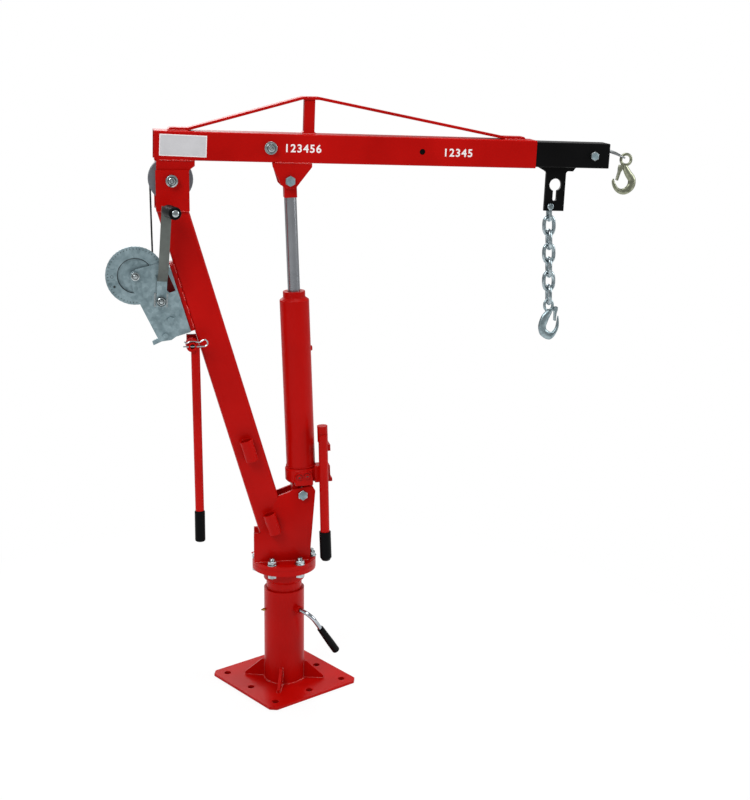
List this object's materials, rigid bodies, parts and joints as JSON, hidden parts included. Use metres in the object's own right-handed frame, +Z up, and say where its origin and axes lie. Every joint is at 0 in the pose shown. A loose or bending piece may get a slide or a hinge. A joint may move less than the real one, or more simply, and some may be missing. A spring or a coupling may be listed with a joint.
{
  "type": "pickup truck crane",
  "caption": "Bolt-down swivelling hoist crane: leaning column, hydraulic jack, trussed telescoping boom, hand winch with wire rope, chain with latch hook.",
  "frame": {"origin": "On the post's axis, in the plane of the base plate's underside.", "axes": "+Z up along the post; +X from the post towards the boom's tip; +Y completes the right-handed frame, away from the crank handle."},
  "size_m": [1.1564, 0.3191, 1.3102],
  "materials": {
    "red_paint": "gloss red enamel, slightly orange-peeled",
    "black_paint": "gloss black powder coat",
    "zinc_plate": "bluish bright zinc plating",
    "galvanised": "galvanised sheet steel",
    "steel": "ground steel rod",
    "chrome": "chromed lever",
    "brass": "plated brass nipple",
    "black_grip": "soft black plastic grip",
    "wire_rope": "laid steel wire rope, oiled",
    "yellow_zinc": "yellow zinc plating"
  },
  "bodies": {
    "base": {"base_plate": "red_paint", "base_post": "red_paint", "grease_nipple": "brass"},
    "lock_lever": {"lock_lever": "chrome", "lock_lever_grip": "black_grip"},
    "mast": {"spindle": "red_paint", "upper_flange": "red_paint", "mast": "red_paint", "foot_ear_front": "red_paint", "foot_ear_rear": "red_paint", "handle_tube_upper": "red_paint", "handle_tube_lower": "red_paint", "winch_frame": "galvanised", "drum_axle": "zinc_plate", "boom_pivot_bolt": "zinc_plate", "jack_foot_bolt": "zinc_plate", "steering_stub": "red_paint", "steering_clip": "zinc_plate", "rope_run": "wire_rope"},
    "drum": {"winch_drum": "galvanised", "drum_gear": "zinc_plate", "rope_winding": "wire_rope"},
    "crank": {"pinion_shaft": "zinc_plate", "crank_arm": "zinc_plate"},
    "crank_grip": {"crank_grip": "black_grip"},
    "pawl": {"ratchet_pawl": "zinc_plate"},
    "head_pulley": {"head_pulley": "zinc_plate"},
    "boom": {"boom_tube": "red_paint", "jack_bracket_front": "red_paint", "jack_bracket_rear": "red_paint", "truss_strap": "red_paint", "truss_strut": "red_paint", "extension_bolt": "zinc_plate", "jack_head_bolt": "zinc_plate", "rope_in_boom": "wire_rope"},
    "extension": {"extension_tube": "black_paint", "hanger_plate": "black_paint", "roller_bolt": "zinc_plate", "rope_end": "wire_rope"},
    "tip_roller": {"tip_roller": "zinc_plate"},
    "shackle": {"shackle": "zinc_plate"},
    "link_1": {"chain_link_1": "zinc_plate"},
    "link_2": {"chain_link_2": "zinc_plate"},
    "link_3": {"chain_link_3": "zinc_plate"},
    "link_4": {"chain_link_4": "zinc_plate"},
    "link_5": {"chain_link_5": "zinc_plate"},
    "link_6": {"chain_link_6": "zinc_plate"},
    "chain_hook": {"chain_hook": "zinc_plate"},
    "chain_hook_latch": {"chain_hook_latch": "zinc_plate"},
    "rope_hook": {"rope_hook": "yellow_zinc"},
    "rope_hook_latch": {"rope_hook_latch": "zinc_plate"},
    "jack_ram": {"jack_ram": "steel"},
    "jack_cylinder": {"jack_barrel": "red_paint", "jack_base": "red_paint"},
    "pump_plunger": {"pump_plunger": "steel"},
    "pump_handle": {"pump_handle": "red_paint", "pump_grip": "black_grip"},
    "release_valve": {"release_valve": "red_paint"},
    "steering_handle": {"steering_handle": "red_paint", "steering_grip": "black_grip"}
  },
  "joints": [
    {"name": "swing", "type": "hinge", "parent": "base", "child": "mast", "pos_m": [0, 0, 0.2878], "axis": [0, 0, 1], "continuous": true},
    {"name": "lock_lever_turn", "type": "hinge", "parent": "base", "child": "lock_lever", "pos_m": [0.02958, -0.04696, 0.185], "axis": [0.5329, -0.8462, 0], "range_deg": [-60, 95]},
    {"name": "boom_lift", "type": "hinge", "parent": "mast", "child": "boom", "pos_m": [-0.235, 0, 1.142], "axis": [0, -1, 0], "range_deg": [-20, 25], "deforming": ["rope_run"]},
    {"name": "jack_head_pivot", "type": "hinge", "parent": "boom", "child": "jack_ram", "pos_m": [0.01001, 0, 1.13897], "axis": [0, -1, 0], "range_deg": [-25.5, 20.5]},
    {"name": "jack_stroke", "type": "slide", "parent": "jack_ram", "child": "jack_cylinder", "axis": [0.0393, 0, -0.9992], "range_m": [-0.086, 0.108]},
    {"name": "extension_slide", "type": "slide", "parent": "boom", "child": "extension", "axis": [0.9996, 0, -0.027], "range_m": [0, 0.32]},
    {"name": "drum_spin", "type": "hinge", "parent": "mast", "child": "drum", "pos_m": [-0.31394, 0, 0.94661], "axis": [0, -1, 0], "continuous": true},
    {"name": "crank_spin", "type": "hinge", "parent": "mast", "child": "crank", "pos_m": [-0.26236, -0.06, 0.89564], "axis": [0, -1, 0], "continuous": true},
    {"name": "crank_grip_spin", "type": "hinge", "parent": "crank", "child": "crank_grip", "pos_m": [-0.24867, -0.077, 1.08665], "axis": [0.1485, -0.988, 0.0434], "continuous": true},
    {"name": "pawl_turn", "type": "hinge", "parent": "mast", "child": "pawl", "pos_m": [-0.25455, -0.036, 0.81978], "axis": [0, -1, 0], "range_deg": [-12, 20]},
    {"name": "head_pulley_spin", "type": "hinge", "parent": "mast", "child": "head_pulley", "pos_m": [-0.235, 0, 1.142], "axis": [0, -1, 0], "continuous": true},
    {"name": "tip_roller_spin", "type": "hinge", "parent": "extension", "child": "tip_roller", "pos_m": [0.67446, 0, 1.18752], "axis": [0, -1, 0], "continuous": true},
    {"name": "shackle_swing", "type": "hinge", "parent": "extension", "child": "shackle", "pos_m": [0.58615, 0, 1.07736], "axis": [0, 1, 0], "range_deg": [-35, 35]},
    {"name": "link_1_swing", "type": "hinge", "parent": "shackle", "child": "link_1", "pos_m": [0.58752, 0, 1.04319], "axis": [0, 1, 0], "range_deg": [-25, 25]},
    {"name": "link_2_swing", "type": "hinge", "parent": "link_1", "child": "link_2", "pos_m": [0.58876, 0, 1.01242], "axis": [0.9992, 0, 0.0401], "range_deg": [-25, 25]},
    {"name": "link_3_swing", "type": "hinge", "parent": "link_2", "child": "link_3", "pos_m": [0.59, 0, 0.98164], "axis": [0, 1, 0], "range_deg": [-25, 25]},
    {"name": "link_4_swing", "type": "hinge", "parent": "link_3", "child": "link_4", "pos_m": [0.59123, 0, 0.95087], "axis": [0.9992, 0, 0.0401], "range_deg": [-25, 25]},
    {"name": "link_5_swing", "type": "hinge", "parent": "link_4", "child": "link_5", "pos_m": [0.59247, 0, 0.92009], "axis": [0, 1, 0], "range_deg": [-25, 25]},
    {"name": "link_6_swing", "type": "hinge", "parent": "link_5", "child": "link_6", "pos_m": [0.59371, 0, 0.88932], "axis": [0.9992, 0, 0.0401], "range_deg": [-25, 25]},
    {"name": "chain_hook_swing", "type": "hinge", "parent": "link_6", "child": "chain_hook", "pos_m": [0.59492, 0, 0.85914], "axis": [0, 1, 0], "range_deg": [-45, 45]},
    {"name": "chain_hook_latch_turn", "type": "hinge", "parent": "chain_hook", "child": "chain_hook_latch", "pos_m": [0.61144, 0, 0.8496], "axis": [0, 1, 0], "range_deg": [0, 18], "stiffness_Nm_per_rad": 0.02, "springref_deg": -17.19},
    {"name": "rope_hook_swing", "type": "hinge", "parent": "extension", "child": "rope_hook", "pos_m": [0.758, 0, 1.1772], "axis": [0, 1, 0], "range_deg": [-40, 35]},
    {"name": "rope_hook_latch_turn", "type": "hinge", "parent": "rope_hook", "child": "rope_hook_latch", "pos_m": [0.74698, 0, 1.162], "axis": [0, -1, 0], "range_deg": [0, 30], "stiffness_Nm_per_rad": 0.02, "springref_deg": -17.19},
    {"name": "steering_handle_swing", "type": "hinge", "parent": "mast", "child": "steering_handle", "pos_m": [-0.2005, -0.0465, 0.8], "axis": [0, 1, 0], "range_deg": [-14, 75]},
    {"name": "pump_handle_lift", "type": "hinge", "parent": "jack_cylinder", "child": "pump_handle", "pos_m": [0.08692, -0.01, 0.56205], "axis": [-0.9992, 0, -0.0393], "range_deg": [0, 50]},
    {"name": "pump_plunger_slide", "type": "slide", "parent": "jack_cylinder", "child": "pump_plunger", "axis": [-0.0393, 0, 0.9992], "range_m": [0, 0.0125]},
    {"name": "release_valve_turn", "type": "hinge", "parent": "jack_cylinder", "child": "release_valve", "pos_m": [0.04598, -0.035, 0.49589], "axis": [0, -1, 0], "range_deg": [0, 270]}
  ],
  "couplings": [
    {"joint": "crank_spin", "follows": "drum_spin", "ratio": -4.3333},
    {"joint": "jack_head_pivot", "follows": "boom_lift", "ratio": -1},
    {"joint": "jack_stroke", "follows": "boom_lift", "m_per_rad": 0.2447},
    {"joint": "pump_plunger_slide", "follows": "pump_handle_lift", "m_per_rad": 0.012}
  ]
}
